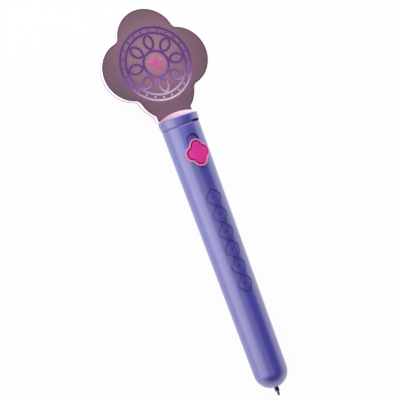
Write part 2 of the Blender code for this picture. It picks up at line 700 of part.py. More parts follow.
def lay_down():
    """Lays the pen along X, with the middle of its length and of the plate's width over the origin."""
    tilt, roll = rest_tilt(), rest_roll()
    half_length = (PLATE_CENTRE_Z + PLATE_REACH) / 2
    along_x = Matrix(((0, 0, 1), (-1, 0, 0), (0, -1, 0))).to_4x4()
    spin = Matrix.Rotation(-tilt, 4, "Y") @ Matrix.Rotation(roll, 4, "X") @ along_x
    nose_height = NOSE_RADIUS - DOME_Z * math.sin(tilt)
    place = (-half_length * math.cos(tilt), -PLATE_Y * math.sin(roll), nose_height)
    pen.matrix_world = Matrix.Translation(place) @ spin


make_barrel()
make_refill_guide()
make_collar()
make_diffuser()
make_light_plate()
make_led()
make_circuit_board()
make_cell("cell_lower", LOWER_CELL_Z)
make_cell("cell_upper", UPPER_CELL_Z)
make_battery_contacts()
make_battery_cover()
make_contact_leaf("left", -LEAF_X)
make_contact_leaf("right", LEAF_X)
make_slider_button()
make_carriage()
make_detent_spring()
make_bridge_contact()
make_refill_tube()
make_point_holder()
make_writing_point()
make_writing_ball()
lay_down()
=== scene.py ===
"""Looks of the light-up pen: finer shells, finishes, studio light and the camera of the photograph.

Pieces are modelled in millimetres in the pen's own frame, like the solids: local Z runs along the pen
from the ball's tip (z = 0) to the plate, the front is local -Y, and one matrix lays it on the table.
"""

import json
import math

import bmesh
import bpy
import numpy as np
from mathutils import Matrix, Vector
from mathutils.geometry import delaunay_2d_cdt
from mathutils.kdtree import KDTree


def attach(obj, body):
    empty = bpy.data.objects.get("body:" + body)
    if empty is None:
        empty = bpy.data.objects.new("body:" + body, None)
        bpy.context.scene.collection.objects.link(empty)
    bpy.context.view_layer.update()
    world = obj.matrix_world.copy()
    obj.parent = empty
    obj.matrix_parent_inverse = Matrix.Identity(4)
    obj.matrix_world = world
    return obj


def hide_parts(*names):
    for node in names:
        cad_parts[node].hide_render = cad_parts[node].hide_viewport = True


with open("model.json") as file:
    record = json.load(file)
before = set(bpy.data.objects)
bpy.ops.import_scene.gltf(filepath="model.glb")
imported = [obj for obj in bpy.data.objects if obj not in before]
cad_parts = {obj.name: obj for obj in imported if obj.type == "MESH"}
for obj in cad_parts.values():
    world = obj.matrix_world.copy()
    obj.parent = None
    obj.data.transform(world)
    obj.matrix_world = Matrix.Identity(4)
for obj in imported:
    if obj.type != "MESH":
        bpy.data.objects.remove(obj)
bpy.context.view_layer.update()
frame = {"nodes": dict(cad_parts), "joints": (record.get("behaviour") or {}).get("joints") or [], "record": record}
MM = 0.001

# The flats of the many-sided solids of barrel and collar reach this share of the radius
SOLID_SIDES = 40
FLATS = math.cos(math.pi / SOLID_SIDES)

# Barrel and the track in its front, whose wall is given as (splay, height over the floor)
NOSE_CENTRE_Z = 12.85
NOSE_RADIUS = 8.35 * FLATS
MOUTH_Z = 138.2
MOUTH_RADIUS = 9.5 * FLATS
MOUTH_EDGE = 0.5
WALL = 2.0
POINT_HOLE_RADIUS = 1.5
TRACK_HALF_WIDTH = 3.2
TRACK_FLOOR = 8.55
TRACK_ENDS = (118.6, 133.0)
TRACK_GROOVE_WIDTH = 0.6
TRACK_GROOVE_DEPTH = 0.25
TRACK_GROOVE_SLOPE = 0.1
TRACK_BRINK = 0.02
TRACK_WALL = ((0.0, 0.2), (0.06, 0.75), (0.2, 0.9))
STEM_SLOT_HALF_WIDTH = 1.7
STEM_SLOT_ENDS = (120.0, 128.6)
STEM_SLOT_INSIDE = 5.5

# Slider button
BUTTON_Z = 123.3
BUTTON_REACH = 6.7
BUTTON_UNDERSIDE = 9.63
BUTTON_TOP = 10.65
BUTTON_RIM = 0.65
BUTTON_ROUNDING = 0.18
BUTTON_FOOT_EDGE = 0.1
BUTTON_FACE = 10.3
MOAT_FLOOR = 10.0
MOAT_WIDTH = 0.8
MOAT_EDGE = 0.05
# Across the button, where the moat's painted shade fades from deep pink into the face's pink
MOAT_SHADE_SPAN = (-1.5, 3.0)
FACE_PINK = (229, 38, 154)
SHOE_HALF_WIDTH = 2.9
SHOE_ENDS = (118.9, 127.7)
SHOE_LIFT = 0.2
SHOE_SUNK = 0.02
STEM_HALF_WIDTH = 1.4
STEM_ENDS = (120.3, 123.3)
STEM_INSIDE = 4.6
STEM_OUTSIDE = 9.0

# Collar, dome and plate
COLLAR_Z = 138.55
COLLAR_TOP_Z = 142.6
COLLAR_FOOT_RADIUS = 9.65 * FLATS
COLLAR_TOP_RADIUS = 10.05 * FLATS
COLLAR_EDGE = 0.35
COLLAR_SEAT_GAP = 0.03
SHOULDER_RADIUS = 9.15
SKIRT_Z = 131.7
SKIRT_RADIUS = 7.2
CELL_POCKET_RADIUS = 6.2
BOARD_POCKET_RADIUS = 6.9
BOARD_LEDGE_Z = 139.6
NICK_ANGLE = 40.0
NICK_DEPTH = 1.6
NICK_RADIUS = 14.0
NICK_HEIGHT = 0.8
NICK_BRIM_SHARE = 0.6
NICK_LIP = 0.1
DOME_SEAT_Z = 141.4
DOME_SEAT_RADIUS = 8.55
DOME_LIP_RADIUS = 9.7 * FLATS
DOME_LIP_Z = 143.4
DOME_TOP_Z = 145.7
DOME_GLOW_SPAN = (-9.0, 8.0)
PLATE_Y = 2.8
PLATE_HALF = 1.48
PLATE_ROUNDING = 0.3
PLATE_CENTRE_Z = 171.3
PLATE_REACH = 28.07
PLATE_STEP = 0.8
NECK_HALF_WIDTH = 9.7
NECK_CLEARANCE = 0.3
TANG_HALF_WIDTH = 6.0
TANG_Z = 142.4
SEAT_GAP = 0.15
OVERCUT = 1.0

# A four-lobed outline, as shares of its reach from the centre
LOBE_SHARE = 0.548
NOTCH_SHARE = 0.102

# Writing point
BALL_RADIUS = 0.4
POINT_BASE_RADIUS = 0.92
POINT_TOP_Z = 2.6
POINT_SHANK_RADIUS = 0.75
SHANK_TOP_Z = 8.6
HOLDER_FRONT_RADIUS = 1.1
HOLDER_SHOULDER_Z = 9.0
HOLDER_TOP_Z = 14.1
HOLDER_RADIUS = 1.5
HOLDER_CHAMFER = 0.3
POINT_GAP = 0.05
POINT_EDGE = 0.1
POINT_BASE_HEIGHT = 0.3
POINT_WALL = 0.12
POINT_LIP = 0.06
SEAT_ANGLES = (-20, 66)

# Engraved braid on the barrel: two waves that cross, with a dot in each eye
BRAID_ENDS = (53.0, 105.0)
BRAID_EYES = 6
EYE_STEPS = 24
BRAID_REACH = 3.6
GROOVE_TOP = 0.5
GROOVE_BOTTOM = 0.28
GROOVE_DEPTH = 0.4
GROOVE_CLEARANCE = 0.12
DOT_RADIUS = 0.85
DOT_SLOPE = 0.25

# Rosette on the plate: rings, petals, a star, and beads whose dome is given as (inset, rise)
OUTER_RING = 18.2
INNER_RING = 15.4
STAR_RING = 6.4
LINE_HALF_WIDTH = 0.5
LINE_HEIGHT = 0.1
LINE_SUNK = 0.05
LINE_EDGE = 0.05
LINE_TOP_SHARE = 0.7
LINE_BASE = PLATE_HALF - LINE_SUNK
LINE_TOP = PLATE_HALF + LINE_HEIGHT
PETALS = 8
PETAL_INNER = 7.3
PETAL_OUTER = 14.6
PETAL_HALF_WIDTH = 2.3
BEADS = 24
BEAD_RADIUS = 0.55
BEAD_DOME = ((0.15, 0.02), (0.32, 0.06))
STAR_POINTS = 5
STAR_REACH = 4.9
STAR_WAIST = 2.1
STAR_SLOPE = 0.12
STAR_RISE = 0.08
HALO_REACH = 0.95
GLOW_REACH = 17.0
GLOW_RISE = 3.0
BORDER_REACH = 0.6
BACK_LINE = 0.7
SAMPLE_SPACING = 0.3

# Camera and studio, with the lamps and the floor in metres
CAMERA_DISTANCE = 450.0
CAMERA_LENS = 83.85
SENSOR_WIDTH = 36.0
CAMERA_NEAR = 10.0
VIEW_TURN = 22.2
PEN_LEAN = 20.18
VIEW_CENTRE_Z = 101.9
VIEW_CENTRE_LEFT = 3.37
FLOOR_LIFT = 0.955
FLOOR_GREY = 0.9
FLOOR_REACH = 4.0
ROOM_LIGHT = 0.08
HORIZON_EDGE = (10.0, 22.0)
LAMP_LENGTH = 0.7

# Meshes
ROUND_STEPS = 144
POINT_STEPS = 64
BARREL_RINGS = 40
SHARP_ANGLE = 32.0
CAP_SPACING = 0.6
MATERIAL_SLOTS = 3

TAPER = (MOUTH_RADIUS - NOSE_RADIUS) / (MOUTH_Z - NOSE_CENTRE_Z)


def pen_matrix():
    """From the pen's own frame to the table: the slide's axis, the plate's front and the ball's place."""
    joints = {joint["name"]: joint for joint in frame["joints"]}
    mounts = {mount["name"]: mount for mount in frame["record"]["mounts"]}
    along = Vector(joints["slider_slide"]["axis"]).normalized()
    back = -Vector(mounts["plate_front"]["axis"]).normalized()
    right = back.cross(along).normalized()
    tip = Vector(joints["ball_roll"]["pos_m"]) - along * BALL_RADIUS * MM
    turn = Matrix((right, back, along)).transposed().to_4x4()
    return Matrix.Translation(tip) @ turn


PEN = pen_matrix()
TO_TABLE = PEN @ Matrix.Scale(MM, 4)
TO_PEN = TO_TABLE.inverted()


# Outlines, as lists of (x, z) points, anticlockwise

def arc(centre, radius, start, end, steps):
    """Points on an arc, from the start angle to the end angle in degrees."""
    angles = np.radians(np.linspace(start, end, steps + 1))
    return [(centre[0] + radius * math.cos(a), centre[1] + radius * math.sin(a)) for a in angles]


def lobes(reach):
    """Lobe radius, lobe centre distance, notch radius and notch centre of a four-lobed outline."""
    radius = LOBE_SHARE * reach
    distance = reach - radius
    notch = NOTCH_SHARE * reach
    corner = (distance + math.sqrt(2 * (radius + notch) ** 2 - distance**2)) / 2
    return radius, distance, notch, corner


def four_lobes(reach, centre_z, steps, notch_steps):
    radius, distance, notch, corner = lobes(reach)
    half = math.degrees(math.atan2(corner, corner - distance))
    quarter = arc((distance, 0.0), radius, -half, half, steps)
    quarter += arc((corner, corner), notch, half + 180, 270 - half, notch_steps)[1:-1]
    points = []
    for turn in range(4):
        c, s = math.cos(turn * math.pi / 2), math.sin(turn * math.pi / 2)
        points += [(x * c - z * s, centre_z + x * s + z * c) for x, z in quarter]
    return points


def plate_outline():
    """The lobed plate, with its lowest lobe run into a neck and a narrower tang."""
    radius, distance, _, _ = lobes(PLATE_REACH)
    neck_top = PLATE_CENTRE_Z - distance - math.sqrt(radius**2 - NECK_HALF_WIDTH**2)
    shoulder = DOME_LIP_Z + SEAT_GAP
    outline = four_lobes(PLATE_REACH, PLATE_CENTRE_Z, steps=56, notch_steps=12)
    lobed = [(x, z) for x, z in outline if z > neck_top + NECK_CLEARANCE]
    start = max(range(len(lobed)), key=lambda i: lobed[i][0] - lobed[i - 1][0])
    right = [(TANG_HALF_WIDTH, TANG_Z), (TANG_HALF_WIDTH, shoulder)]
    right += [(NECK_HALF_WIDTH, shoulder), (NECK_HALF_WIDTH, neck_top)]
    left = [(-x, z) for x, z in reversed(right)]
    return right + lobed[start:] + lobed[:start] + left


def slot_outline(half_width, bottom, top):
    """A straight slot along Z with round ends."""
    upper = arc((0.0, top - half_width), half_width, 0, 180, 24)
    lower = arc((0.0, bottom + half_width), half_width, 180, 360, 24)
    return upper + lower


def circle(centre, radius, steps):
    return arc(centre, radius, 0, 360, steps)[:-1]


def petal(turn):
    """An almond with its points on a ray from the plate's centre."""
    length = (PETAL_OUTER - PETAL_INNER) / 2
    radius = (length**2 + PETAL_HALF_WIDTH**2) / (2 * PETAL_HALF_WIDTH)
    half = math.degrees(math.asin(length / radius))
    side = arc((PETAL_HALF_WIDTH - radius, 0.0), radius, -half, half, 14)
    almond = side[:-1] + [(-x, -z) for x, z in side[:-1]]
    middle = (PETAL_INNER + PETAL_OUTER) / 2
    c, s = math.cos(turn), math.sin(turn)
    return [(x * c - (z + middle) * s, PLATE_CENTRE_Z + x * s + (z + middle) * c) for x, z in almond]


def star():
    """A star with one point up."""
    points = []
    for i in range(2 * STAR_POINTS):
        reach = STAR_WAIST if i % 2 else STAR_REACH
        angle = math.pi / 2 + i * math.pi / STAR_POINTS
        points.append((reach * math.cos(angle), PLATE_CENTRE_Z + reach * math.sin(angle)))
    return points


def grown(outline, growth):
    """The outline moved outwards by the growth, with mitred corners."""
    points = np.array(outline)
    return points + growth * mitres(points, closed=True)


def mitres(points, closed):
    """For each point of a path, the step to its right that moves both of its edges by one."""
    ahead = np.roll(points, -1, axis=0) - points
    if not closed:
        ahead[-1] = ahead[-2]
    ahead /= np.linalg.norm(ahead, axis=1, keepdims=True)
    right = np.stack((ahead[:, 1], -ahead[:, 0]), axis=1)
    behind = np.roll(right, 1, axis=0)
    if not closed:
        behind[0] = right[0]
    both = right + behind
    return both / (both * right).sum(axis=1, keepdims=True)


# Where a flat point goes in the pen's frame

def place_flat(x, z, height):
    """A point of the plate, at a height above its middle plane towards the front."""
    return (x, PLATE_Y - height, z)


def place_wrapped(x, z, radius):
    """A point of the front seen straight on, set back to a radius round the pen's axis."""
    return (x, -math.sqrt(radius**2 - x**2), z)


def bent(outline):
    """The button's flat outline as the front shows it once it is curved, its widths turned into arcs."""
    return [(BUTTON_TOP * math.sin(x / BUTTON_TOP), z) for x, z in outline]


def outer_radius(z):
    return NOSE_RADIUS + TAPER * (z - NOSE_CENTRE_Z)


def place_unrolled(around, z, depth):
    """A point of the barrel's unrolled skin, sunk by the depth."""
    radius = outer_radius(z)
    angle = around / radius
    return ((radius - depth) * math.sin(angle), (depth - radius) * math.cos(angle), z)


# Solids

def bridge(work, lower, upper, material=0):
    """Faces between two rings of the same number of corners."""
    for i in range(len(lower)):
        corners = [lower[i - 1], lower[i], upper[i], upper[i - 1]]
        face = work.faces.new(dict.fromkeys(corners))
        face.material_index = material


def inner_grid(outline, spacing):
    """Points of a triangular grid over the outline's box, clear of the outline itself."""
    clearance = 0.6 * spacing
    near = KDTree(len(outline))
    for i, (x, z) in enumerate(outline):
        near.insert((x, z, 0.0), i)
    near.balance()
    low, high = np.min(outline, axis=0), np.max(outline, axis=0)
    rows = np.arange(low[1], high[1], spacing * math.sqrt(3) / 2)
    points = []
    for row, z in enumerate(rows):
        start = low[0] + (row % 2) * spacing / 2
        points += [(x, z) for x in np.arange(start, high[0], spacing)]
    return [p for p in points if near.find((*p, 0.0))[2] > clearance]


def cap(work, outline, ring, height, place, spacing, material):
    """Fills a ring with small triangles, so that the cap can curve and carry soft shading."""
    count = len(outline)
    points = [Vector(p) for p in outline] + [Vector(p) for p in inner_grid(outline, spacing)]
    loop = [(i, (i + 1) % count) for i in range(count)]
    inside_only, tolerance = 1, 1e-6
    flat, _, faces, sources, _, _ = delaunay_2d_cdt(points, loop, [], inside_only, tolerance)
    made = {}
    for corners in faces:
        for corner in corners:
            if corner in made:
                continue
            on_ring = [i for i in sources[corner] if i < count]
            if on_ring:
                made[corner] = ring[on_ring[0]]
            else:
                made[corner] = work.verts.new(place(*flat[corner], height))
        face = work.faces.new([made[corner] for corner in corners])
        face.material_index = material


def lofted(outline, sections, place, spacing):
    """A closed solid with one ring for each section's growth, height and material, capped at both ends."""
    work = bmesh.new()
    rings = []
    for growth, height, _ in sections:
        points = grown(outline, growth)
        rings.append((points, [work.verts.new(place(x, z, height)) for x, z in points]))
    for i in range(len(rings) - 1):
        bridge(work, rings[i][1], rings[i + 1][1], sections[i][2])
    for i in (0, -1):
        points, ring = rings[i]
        cap(work, points, ring, sections[i][1], place, spacing, sections[i][2])
    bmesh.ops.recalc_face_normals(work, faces=work.faces)
    return work


def swept(paths, section, place, closed, material=0):
    """Bars along paths, each with a section of (distance to the right, height) points."""
    work = bmesh.new()
    for path in paths:
        points = np.array(path)
        steps = mitres(points, closed)
        rings = []
        for point, step in zip(points, steps):
            corners = [(point + aside * step, height) for aside, height in section]
            rings.append([work.verts.new(place(x, z, height)) for (x, z), height in corners])
        for lower, upper in zip(rings, rings[1:]):
            bridge(work, lower, upper, material)
        if closed:
            bridge(work, rings[-1], rings[0], material)
        else:
            work.faces.new(rings[0]).material_index = material
            work.faces.new(rings[-1]).material_index = material
    bmesh.ops.recalc_face_normals(work, faces=work.faces)
    return work


def revolved(profile, closed=True, steps=ROUND_STEPS, material=0):
    """A turned solid from (radius, z) points. An open profile starts and ends on the axis."""
    work = bmesh.new()
    angles = np.linspace(0, math.tau, steps, endpoint=False)
    rings = []
    for radius, z in profile:
        if radius:
            rings.append([work.verts.new((radius * math.cos(a), radius * math.sin(a), z)) for a in angles])
        else:
            rings.append([work.verts.new((0.0, 0.0, z))] * steps)
    for lower, upper in zip(rings, rings[1:]):
        bridge(work, lower, upper, material)
    if closed:
        bridge(work, rings[-1], rings[0], material)
    bmesh.ops.recalc_face_normals(work, faces=work.faces)
    return work


def block(low, high):
    """A box between two corners."""
    work = bmesh.new()
    low, high = Vector(low), Vector(high)
    size = Matrix.Diagonal((*(high - low), 1.0))
    bmesh.ops.create_cube(work, size=1.0, matrix=Matrix.Translation((low + high) / 2) @ size)
    return work


def merged(*works):
    """Several closed solids in one mesh."""
    whole = bmesh.new()
    for work in works:
        mesh = bpy.data.meshes.new("merged")
        work.to_mesh(mesh)
        work.free()
        whole.from_mesh(mesh)
        bpy.data.meshes.remove(mesh)
    return whole


def loose_object(work):
    """A temporary object with empty material slots."""
    mesh = bpy.data.meshes.new("loose")
    work.to_mesh(mesh)
    work.free()
    for _ in range(MATERIAL_SLOTS):
        mesh.materials.append(None)
    obj = bpy.data.objects.new("loose", mesh)
    bpy.context.scene.collection.objects.link(obj)
    return obj


def carved(work, *tools):
    """The solid less the tools, one after another. The cuts keep the tools' material numbers."""
    base = loose_object(work)
    cutters = [loose_object(tool) for tool in tools]
    for cutter in cutters:
        step = base.modifiers.new("cut", "BOOLEAN")
        step.operation = "DIFFERENCE"
        step.object = cutter
    graph = bpy.context.evaluated_depsgraph_get()
    mesh = bpy.data.meshes.new_from_object(base.evaluated_get(graph))
    result = bmesh.new()
    result.from_mesh(mesh)
    for obj in (base, *cutters):
        bpy.data.objects.remove(obj)
    bpy.data.meshes.remove(mesh)
    return result


def store(mesh, name, values):
    """One number for each point of a mesh, for its materials to read."""
    mesh.attributes.new(name, "FLOAT", "POINT").data.foreach_set("value", values)


def piece(name, work, body, node, materials):
    """A finished piece of the pen that rides on its body, in place of a CAD node where one is named."""
    mesh = bpy.data.meshes.new(name)
    work.to_mesh(mesh)
    work.free()
    store(mesh, "across", [vertex.co.x for vertex in mesh.vertices])
    store(mesh, "along", [vertex.co.z for vertex in mesh.vertices])
    mesh.transform(TO_TABLE)
    for material in materials:
        mesh.materials.append(material)
    mesh.shade_smooth()
    mesh.set_sharp_from_angle(angle=math.radians(SHARP_ANGLE))
    obj = bpy.data.objects.new(name, mesh)
    bpy.context.scene.collection.objects.link(obj)
    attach(obj, body)
    if node:
        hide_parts(node)
    return obj


# Finishes

def linear(red, green, blue):
    """A colour from 0 to 255 on screen, as light."""
    shares = [value / 255 for value in (red, green, blue)]
    light = [s / 12.92 if s <= 0.04045 else ((s + 0.055) / 1.055) ** 2.4 for s in shares]
    return (*light, 1.0)


def new_material(name, colour, roughness, metallic=0.0):
    material = bpy.data.materials.new(name)
    material.use_nodes = True
    tree = material.node_tree
    shader = tree.nodes["Principled BSDF"]
    shader.inputs["Base Color"].default_value = colour
    shader.inputs["Roughness"].default_value = roughness
    shader.inputs["Metallic"].default_value = metallic
    return material, tree, shader


def noise(tree, scale, detail=3.0, stretch=(1.0, 1.0, 1.0)):
    """Cloudy noise with the given number of clouds to a metre. X runs along the pen on the table."""
    place = tree.nodes.new("ShaderNodeTexCoord")
    mapping = tree.nodes.new("ShaderNodeMapping")
    mapping.inputs["Scale"].default_value = stretch
    texture = tree.nodes.new("ShaderNodeTexNoise")
    texture.inputs["Scale"].default_value = scale
    texture.inputs["Detail"].default_value = detail
    tree.links.new(place.outputs["Object"], mapping.inputs["Vector"])
    tree.links.new(mapping.outputs["Vector"], texture.inputs["Vector"])
    return texture.outputs["Fac"]


def spread(tree, value, low, high, start=0.3, end=0.7):
    """A value remapped so that start gives low and end gives high."""
    remap = tree.nodes.new("ShaderNodeMapRange")
    for socket, number in (("From Min", start), ("From Max", end), ("To Min", low), ("To Max", high)):
        remap.inputs[socket].default_value = number
    tree.links.new(value, remap.inputs["Value"])
    return remap.outputs["Result"]


def ramp(tree, value, stops):
    """A colour for each value, from (value, colour) stops."""
    colours = tree.nodes.new("ShaderNodeValToRGB")
    elements = colours.color_ramp.elements
    while len(elements) < len(stops):
        elements.new(0.5)
    for element, (position, colour) in zip(elements, stops):
        element.position = position
        element.color = colour
    tree.links.new(value, colours.inputs["Fac"])
    return colours.outputs["Color"]


def blend(tree, share, first, second):
    """Two colours mixed. Each is an output or a plain colour."""
    mix = tree.nodes.new("ShaderNodeMix")
    mix.data_type = "RGBA"
    tree.links.new(share, mix.inputs["Factor"])
    for socket, colour in ((mix.inputs[6], first), (mix.inputs[7], second)):
        if isinstance(colour, tuple):
            socket.default_value = colour
        else:
            tree.links.new(colour, socket)
    return mix.outputs[2]


def attribute(tree, name):
    reader = tree.nodes.new("ShaderNodeAttribute")
    reader.attribute_name = name
    return reader.outputs["Fac"]


def shaded(colour, share):
    """A colour made darker, or lighter with a share above one."""
    return (*[min(1.0, value * share) for value in colour[:3]], 1.0)


def roughen(tree, shader, height, strength, distance):
    """A fine relief of the surface."""
    relief = tree.nodes.new("ShaderNodeBump")
    relief.inputs["Strength"].default_value = strength
    relief.inputs["Distance"].default_value = distance * MM
    tree.links.new(height, relief.inputs["Height"])
    tree.links.new(relief.outputs["Normal"], shader.inputs["Normal"])


def moulded(name, colour, roughness):
    """Moulded plastic: faint flow clouds along the pen, uneven gloss and a fine spark-eroded grain."""
    material, tree, shader = new_material(name, colour, roughness)
    flow = noise(tree, 70, 4.0, (0.25, 1.0, 1.0))
    clouds = [(0.3, shaded(colour, 0.92)), (0.7, shaded(colour, 1.08))]
    tree.links.new(ramp(tree, flow, clouds), shader.inputs["Base Color"])
    gloss = noise(tree, 350, 5.0)
    tree.links.new(spread(tree, gloss, roughness - 0.05, roughness + 0.06), shader.inputs["Roughness"])
    roughen(tree, shader, noise(tree, 5000, 2.0), 0.05, 0.02)
    return material


def satin(name, colour):
    """Moulded plastic with a broad, pale sheen."""
    material = moulded(name, colour, 0.34)
    shader = material.node_tree.nodes["Principled BSDF"]
    shader.inputs["Specular IOR Level"].default_value = 1.0
    shader.inputs["Coat Weight"].default_value = 1.0
    shader.inputs["Coat Roughness"].default_value = 0.37
    shader.inputs["Coat IOR"].default_value = 2.15
    return material


def metal(name, colour, roughness):
    """Plated or drawn metal: turning marks and uneven polish."""
    material, tree, shader = new_material(name, colour, roughness, 1.0)
    marks = noise(tree, 2500, 4.0, (1.0, 0.15, 0.15))
    tints = [(0.25, shaded(colour, 0.8)), (0.75, shaded(colour, 1.08))]
    tree.links.new(ramp(tree, marks, tints), shader.inputs["Base Color"])
    tree.links.new(spread(tree, marks, roughness - 0.06, roughness + 0.1), shader.inputs["Roughness"])
    roughen(tree, shader, marks, 0.08, 0.01)
    return material


def purple_plastic():
    return satin("purple_plastic", linear(56, 46, 171))


# Darker purple in the braid's grooves and dimples: painted shade.
def groove_shade_plastic():
    return satin("purple_groove_shade", linear(44, 34, 144))


# Dark purple for the faces of the collar's nick: painted shade.
def painted_shadow_plastic():
    return moulded("purple_painted_shadow", linear(26, 20, 84), 0.6)


def pink_plastic():
    return moulded("pink_plastic", linear(*FACE_PINK), 0.42)


# Paler pink on the button's rim: a painted highlight.
def pink_rim_highlight():
    return moulded("pink_rim_highlight", linear(220, 146, 198), 0.42)


def pink_painted_shade():
    """The moat inside the button's rim, with painted shade: deep pink on its left, where the rim keeps the light
    out, and like the face on its right.
    """
    material = moulded("pink_painted_shade", linear(142, 2, 90), 0.5)
    tree = material.node_tree
    base = tree.nodes["Principled BSDF"].inputs["Base Color"]
    share = spread(tree, attribute(tree, "across"), 0.0, 1.0, *MOAT_SHADE_SPAN)
    tree.links.new(blend(tree, share, base.links[0].from_socket, linear(*FACE_PINK)), base)
    return material


def frosted_plastic():
    """The lit dome: pink on its left and near white on its right, with a fine frost."""
    material, tree, shader = new_material("frosted_plastic", linear(140, 108, 133), 0.5)
    across = spread(tree, attribute(tree, "across"), 0.0, 1.0, *DOME_GLOW_SPAN)
    speckle = spread(tree, noise(tree, 900), -0.06, 0.06)
    uneven = tree.nodes.new("ShaderNodeMath")
    tree.links.new(across, uneven.inputs[0])
    tree.links.new(speckle, uneven.inputs[1])
    glow = ramp(
        tree,
        uneven.outputs[0],
        [
            (0.0, linear(178, 126, 160)),
            (0.45, linear(236, 209, 220)),
            (0.8, linear(241, 244, 255)),
            (1.0, linear(241, 250, 255)),
        ],
    )
    tree.links.new(glow, shader.inputs["Emission Color"])
    shader.inputs["Emission Strength"].default_value = 0.72
    tree.links.new(spread(tree, noise(tree, 500), 0.42, 0.6), shader.inputs["Roughness"])
    roughen(tree, shader, noise(tree, 6000, 2.0), 0.1, 0.02)
    return material


def mauve_acrylic():
    """Tinted sheet with soft clouds, a painted warm glow in the middle, a painted violet glow beside the lit lines
    and a darker border.
    """
    colour = linear(126, 96, 118)
    material, tree, shader = new_material("mauve_acrylic", colour, 0.32)
    clouds = ramp(
        tree,
        noise(tree, 75, 2.0),
        [(0.32, linear(102, 87, 99)), (0.5, linear(114, 88, 106)), (0.68, linear(122, 87, 109))],
    )
    # Painted light: a warm glow round the middle and a violet glow beside the lit lines.
    warm = blend(tree, attribute(tree, "glow"), clouds, linear(178, 131, 145))
    lit = blend(tree, attribute(tree, "halo"), warm, linear(133, 96, 142))
    edged = blend(tree, attribute(tree, "border"), lit, linear(90, 65, 85))
    tree.links.new(edged, shader.inputs["Base Color"])
    tree.links.new(spread(tree, noise(tree, 400, 4.0), 0.27, 0.38), shader.inputs["Roughness"])
    shader.inputs["IOR"].default_value = 1.49
    shader.inputs["Specular IOR Level"].default_value = 0.3
    return material


def lit_edge():
    """The sawn edge of the sheet, where the light comes out."""
    colour = linear(246, 226, 240)
    material, tree, shader = new_material("lit_edge", colour, 0.35)
    glow = ramp(tree, noise(tree, 160), [(0.3, linear(238, 206, 232)), (0.7, linear(252, 240, 250))])
    tree.links.new(glow, shader.inputs["Base Color"])
    tree.links.new(glow, shader.inputs["Emission Color"])
    shader.inputs["Emission Strength"].default_value = 0.35
    return material


def lit_line():
    """The lines of the rosette: pale and bright near the light, deep violet further up."""
    material, tree, shader = new_material("lit_line", linear(93, 49, 118), 0.3)
    bottom, top = PLATE_CENTRE_Z - OUTER_RING, PLATE_CENTRE_Z + OUTER_RING
    colours = ramp(
        tree,
        spread(tree, attribute(tree, "along"), 0.0, 1.0, bottom, top),
        [
            (0.0, linear(213, 194, 207)),
            (0.12, linear(190, 160, 196)),
            (0.28, linear(133, 86, 162)),
            (0.5, linear(93, 45, 125)),
            (1.0, linear(80, 36, 116)),
        ],
    )
    worn = blend(tree, spread(tree, noise(tree, 900), 0.0, 0.18), colours, linear(143, 100, 152))
    tree.links.new(worn, shader.inputs["Base Color"])
    tree.links.new(worn, shader.inputs["Emission Color"])
    shader.inputs["Emission Strength"].default_value = 0.08
    return material


def lit_star():
    material, tree, shader = new_material("lit_star", linear(219, 96, 168), 0.3)
    pinks = ramp(tree, noise(tree, 260), [(0.3, linear(190, 81, 146)), (0.7, linear(211, 110, 169))])
    tree.links.new(pinks, shader.inputs["Base Color"])
    tree.links.new(pinks, shader.inputs["Emission Color"])
    shader.inputs["Emission Strength"].default_value = 0.1
    return material


def clear_tube():
    material = moulded("clear_tube", linear(228, 232, 236), 0.2)
    shader = material.node_tree.nodes["Principled BSDF"]
    shader.inputs["Transmission Weight"].default_value = 0.7
    shader.inputs["IOR"].default_value = 1.5
    return material


FINISHES = {
    "purple_plastic": purple_plastic(),
    "pink_plastic": pink_plastic(),
    "frosted_plastic": frosted_plastic(),
    "mauve_acrylic": mauve_acrylic(),
    "natural_plastic": moulded("natural_plastic", linear(224, 224, 220), 0.5),
    "black_plastic": moulded("black_plastic", linear(16, 16, 22), 0.35),
    "circuit_board": moulded("circuit_board", linear(44, 118, 70), 0.45),
    "lens_resin": moulded("lens_resin", linear(244, 218, 140), 0.2),
    "ink": moulded("ink", linear(12, 12, 20), 0.3),
    "clear_tube": clear_tube(),
    "nickel_steel": metal("nickel_steel", linear(180, 179, 174), 0.26),
    "brass": metal("brass", linear(216, 184, 112), 0.28),
    "carbide": metal("carbide", linear(150, 150, 154), 0.16),
}
# Slots 1 and 2 are darker copies of the purple: painted shade in the braid's grooves and in the collar's nick.
PURPLES = [FINISHES["purple_plastic"], groove_shade_plastic(), painted_shadow_plastic()]


# Barrel

def barrel_profile():
    """The wall from the rounded mouth down the outside, round the nose and up the bore."""
    edge = MOUTH_EDGE
    inner = NOSE_RADIUS - WALL
    hole_outside = math.degrees(math.asin(POINT_HOLE_RADIUS / NOSE_RADIUS))
    hole_inside = math.degrees(math.asin(POINT_HOLE_RADIUS / inner))
    profile = arc((MOUTH_RADIUS - edge, MOUTH_Z - edge), edge, 90, 0, 5)
    rings = np.linspace(MOUTH_Z - edge, NOSE_CENTRE_Z, BARREL_RINGS)[1:-1]
    profile += [(outer_radius(z), z) for z in rings]
    profile += arc((0.0, NOSE_CENTRE_Z), NOSE_RADIUS, 0, -90 + hole_outside, 32)
    profile += arc((0.0, NOSE_CENTRE_Z), inner, -90 + hole_inside, 0, 12)
    bore = outer_radius(MOUTH_Z) - WALL
    profile += [(bore, MOUTH_Z - edge), (bore + edge, MOUTH_Z)]
    return profile


